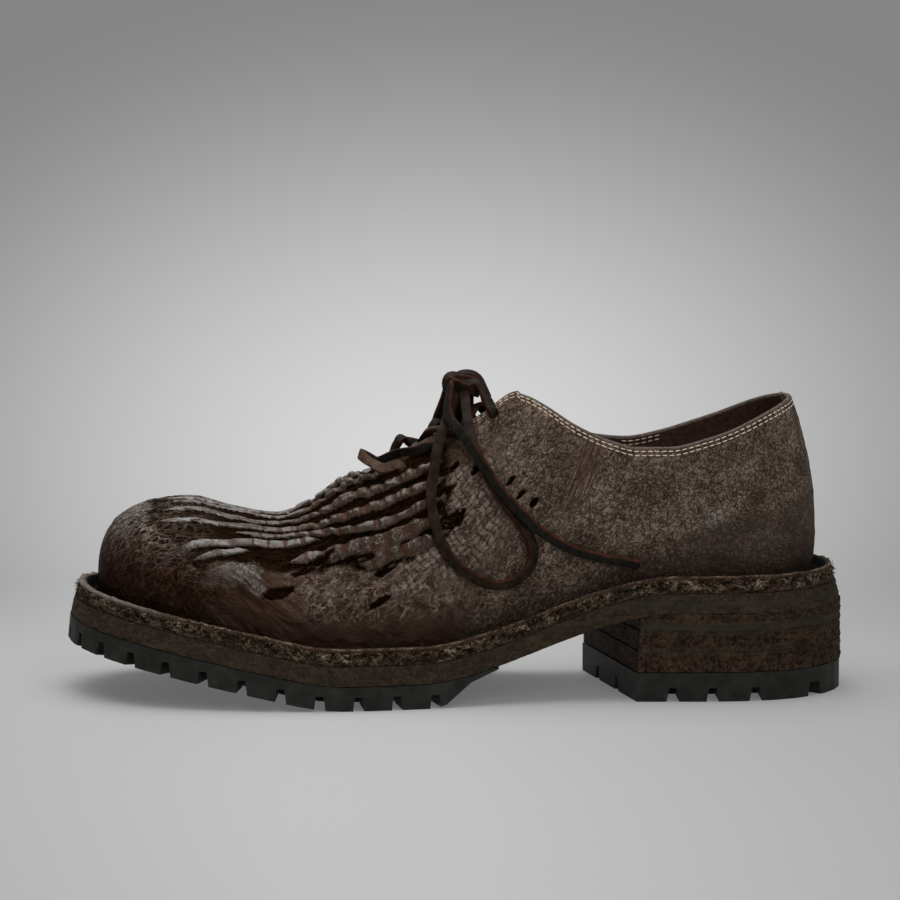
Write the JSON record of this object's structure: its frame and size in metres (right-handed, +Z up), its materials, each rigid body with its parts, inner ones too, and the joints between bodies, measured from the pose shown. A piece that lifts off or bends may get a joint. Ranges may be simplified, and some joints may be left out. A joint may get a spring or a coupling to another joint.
{
  "type": "derby shoe",
  "caption": "Heavy left derby shoe in distressed brown leather: hollow laced upper, turned-up welt, leather midsole, stacked heel and rubber lug soles.",
  "frame": {"origin": "on the floor under the middle of the shoe's box, with the lace's knot, loops and ends left out", "axes": "+X from toe to heel, +Y to the inner (medial) side, +Z up"},
  "size_m": [0.3056, 0.1134, 0.1264],
  "materials": {
    "upper_leather": "waxed and distressed, raised glossy strips with torn matte channels",
    "lining_leather": "matte",
    "sole_leather": "raw fibrous edge, waxed dark",
    "lug_rubber": "matte",
    "thong_leather": "satin"
  },
  "bodies": {
    "root": {"upper": "upper_leather", "tongue": "upper_leather", "back_tab": "lining_leather", "insole": "lining_leather", "welt": "sole_leather", "midsole": "sole_leather", "heel_lift_top": "sole_leather", "heel_lift_middle": "sole_leather", "heel_lift_bottom": "sole_leather", "outsole_forefoot": "lug_rubber", "heel_top_piece": "lug_rubber", "lace_crossings": "thong_leather", "lace_knot": "thong_leather", "lace_loop_lateral": "thong_leather", "lace_end_lateral": "thong_leather", "lace_loop_medial": "thong_leather", "lace_end_medial": "thong_leather"}
  },
  "joints": []
}
